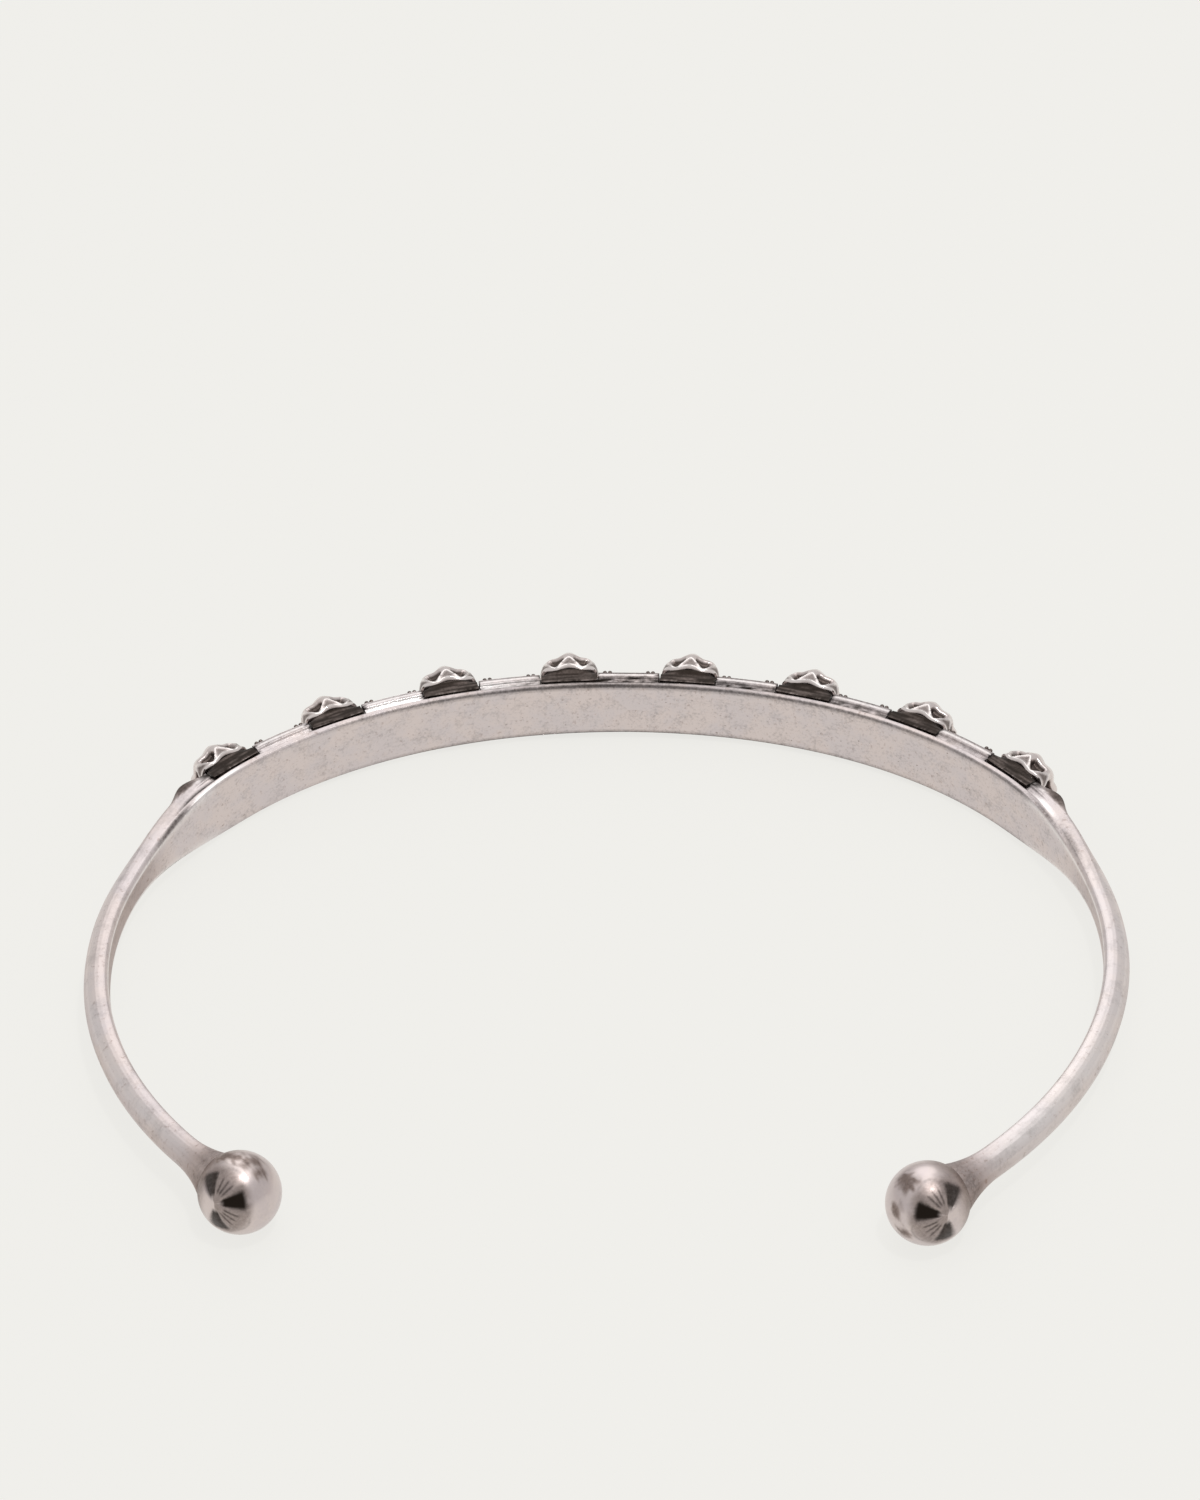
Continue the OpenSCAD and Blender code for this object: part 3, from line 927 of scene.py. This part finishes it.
# %% [markdown]
# ## Collars
# Under each head is a collar: a block with file marks on it, left black. It closes over the notch in
# the rails, so seen from above it is one straight black block between the bright lengths of rail. A
# cube with a bevel would look too clean. This one is a fine loop of points, so that its top can follow
# the head above it and its sides can be a little uneven.

# %% Collar of a stud
notch_from, collar_lap, seam, head_foot = 0.60, 0.21, 0.03, 0.06
points_per_side, collar_rings = 8, 34


def collar_outline(high):
    """The collar's outline across the band: depth and height."""
    field = band_thickness - rail_rise + seam
    head = band_thickness + collar_rise + head_foot
    top = high - seam
    low = high - collar_lap
    corners = np.array([(notch_from, top), (head, top), (head, -top), (notch_from, -top),
                        (notch_from, -low), (field, -low), (field, low), (notch_from, low)])
    after = np.roll(corners, -1, axis=0)
    cut_at = np.arange(points_per_side) / points_per_side
    return (corners[:, None] + (after - corners)[:, None] * cut_at[None, :, None]).reshape(-1, 2)


def stud_collar(number, high):
    """Points and black of a collar, in the stud's own frame."""
    loop = collar_outline(high)
    lengthwise = np.linspace(-collar_length / 2, collar_length / 2, collar_rings)
    x, point = np.meshgrid(lengthwise, np.arange(len(loop)), indexing="ij")
    depth, height = loop[point, 0], loop[point, 1]
    rough = grain(x * 1.2 + 11 * number, point * 1.7, 7) - 0.5
    teeth = grain(x * 9 + 7 * number, point * 0.3, 8) - 0.5
    streaks = grain(x * 0.9 + 3 * number, point * 2.3, 9)
    to_head = ease(1.25, band_thickness + collar_rise, depth)
    rim = (1 - (np.abs(x) / rosette_half_length) ** squareness.max()) ** (1 / squareness.max())
    follow = 0.92 * rosette_half_height / high * rim
    height = height * mix(1, follow, to_head) * (1 + 0.010 * rough)
    toothed = 0.5 * bump_at(depth, notch_from, 0.25) * np.clip(teeth + 0.1, 0, 1)
    ink = 0.98 - 0.22 * ease(0.4, 0.9, streaks) - toothed
    return np.stack([x * mix(1, 0.93, to_head), depth, height], -1), ink


print("points around a collar:", len(collar_outline(band_height / 2)))

# %% [markdown]
# ## Beads
# Tiny beads stand in pairs on each edge of the rails, one pair on each side of every stud. They could
# be dots of paint, but they break the outline of the band. They are balls of about a quarter of a
# millimetre, so twenty points round are plenty. A bead's place follows the bend of the band, and a
# bead that would fall past the end of the rails is left out.

# %% Beads of a stud
bead_places, bead_radius, bead_steps = (-2.53, -2.22, 2.22, 2.53), 0.14, 10
bead_sunk, bead_from_edge = 0.03, 0.13


def bead(centre):
    """A small ball as rings of points."""
    t = np.linspace(0.15, math.pi - 0.15, bead_steps)[:, None]
    p = np.linspace(0, 2 * math.pi, 2 * bead_steps, endpoint=False)[None, :]
    ball = np.stack(np.broadcast_arrays(np.sin(t) * np.cos(p), np.sin(t) * np.sin(p), np.cos(t)), -1)
    return np.array(centre) + bead_radius * ball


def stud_beads(s, high):
    """The beads of the stud at length s, in the stud's own frame."""
    places = [x for x in bead_places if abs(s + x) < band_half]
    edge = high - bead_from_edge
    return [bead((x, band_thickness - bead_sunk - x * x / bend_radii[0] / 2, z))
            for x in places for z in (-edge, edge)]


print("beads of the last stud:", len(stud_beads(stud_places[-1], band_end_height / 2)))

# %% [markdown]
# ## Make the eight studs
# Head, collar and beads of a stud become one mesh, set on the bend. All eight come from the same
# functions. Copies of one mesh would be lighter, but the real ones are cast one by one: their collars
# have their own grain, and the ones at the ends are a little flatter and stand on a higher band.

# %% The studs
def make_stud(number, s):
    high, tall = float(band_half_height(abs(s))), float(head_tall(abs(s)))
    head, head_ink, head_highlight = stud_head(tall)
    collar, collar_ink = stud_collar(number, high)
    grids = [(head, head_ink, head_highlight), (collar, collar_ink, 0 * collar_ink)]
    grids += [(b, np.full(b.shape[:2], 0.7), np.zeros(b.shape[:2])) for b in stud_beads(s, high)]
    parts = [{"points": placed(s, grid[..., 1], grid[..., 2], ahead=grid[..., 0]),
              "oxide": np.clip(ink, 0, 1), "tarnish": 0.8 * ease(0.35, 0.8, ink),
              "polish": shine_and_highlight, "inside": 0 * shine_and_highlight, "run": grid + np.array([5.0 * number, 0, 0])}
             for grid, ink, shine_and_highlight in grids]
    name = "stud_%d" % number
    return new_piece(name + "_dressed", parts, stud_silver, name)


studs = [make_stud(i + 1, s) for i, s in enumerate(stud_places)]
print("studs:", len(studs), "faces of the first:", len(studs[0].data.polygons))

# %% [markdown]
# ## Paper floor
# The bangle lies on its side on pale paper. The paper is lit so evenly that there is hardly a shadow.
# Lamps strong enough for that would wash out the silver, so most of the paper's brightness is its own
# glow, and a little is real light that lets a faint shadow show where metal meets paper.

# %% Floor
floor_reach = 1.5
floor_corners = [(-floor_reach, -floor_reach, 0), (floor_reach, -floor_reach, 0),
                 (floor_reach, floor_reach, 0), (-floor_reach, floor_reach, 0)]
paper = bpy.data.materials.new("paper")
paper.use_nodes = True
paper_shader = paper.node_tree.nodes["Principled BSDF"]
paper_shader.inputs["Base Color"].default_value = (0.10, 0.099, 0.095, 1)
paper_shader.inputs["Roughness"].default_value = 0.9
paper_shader.inputs["Specular IOR Level"].default_value = 0.0
paper_shader.inputs["Emission Color"].default_value = (0.888, 0.880, 0.847, 1)
paper_shader.inputs["Emission Strength"].default_value = 0.86
floor_mesh = bpy.data.meshes.new("floor")
floor_mesh.from_pydata(floor_corners, [], [(0, 1, 2, 3)])
floor_mesh.materials.append(paper)
floor = bpy.data.objects.new("floor", floor_mesh)
bpy.context.scene.collection.objects.link(floor)
print("floor, metres:", 2 * floor_reach)

# %% [markdown]
# ## Soft light
# Silver shows whatever is round it, so the light is mostly large and pale. A wide cloth overhead gives
# the soft tone of the silver, a second one behind lifts the studs, and the sky is a warm white. One
# small round lamp gives the white spot on each ball. A picture of a studio could light it too, but it
# would bring its own shapes into the metal.

# %% Light
def softbox(name, place, size, power):
    light = bpy.data.lights.new(name, "AREA")
    light.shape = "DISK"
    light.size = size
    light.energy = power
    lamp = bpy.data.objects.new(name, light)
    lamp.matrix_world = placed_matrix(aimed(np.array(place), np.array([0.0, 0.0, 0.0])), place)
    bpy.context.scene.collection.objects.link(lamp)


world = bpy.data.worlds.new("studio")
world.use_nodes = True
sky = world.node_tree.nodes["Background"]
sky.inputs["Color"].default_value = (0.78, 0.77, 0.76, 1)
sky.inputs["Strength"].default_value = 0.88
bpy.context.scene.world = world
softbox("cloth overhead", (0.1, 0.1, 1.0), size=1.0, power=1.7)
softbox("cloth behind", (-0.1, 0.9, 0.75), size=0.9, power=1.6)
softbox("round lamp", (0.13, -0.09, 0.58), size=0.04, power=0.75)

# %% [markdown]
# ## Close the lesson
# The silver may not be larger than the solids it stands for.
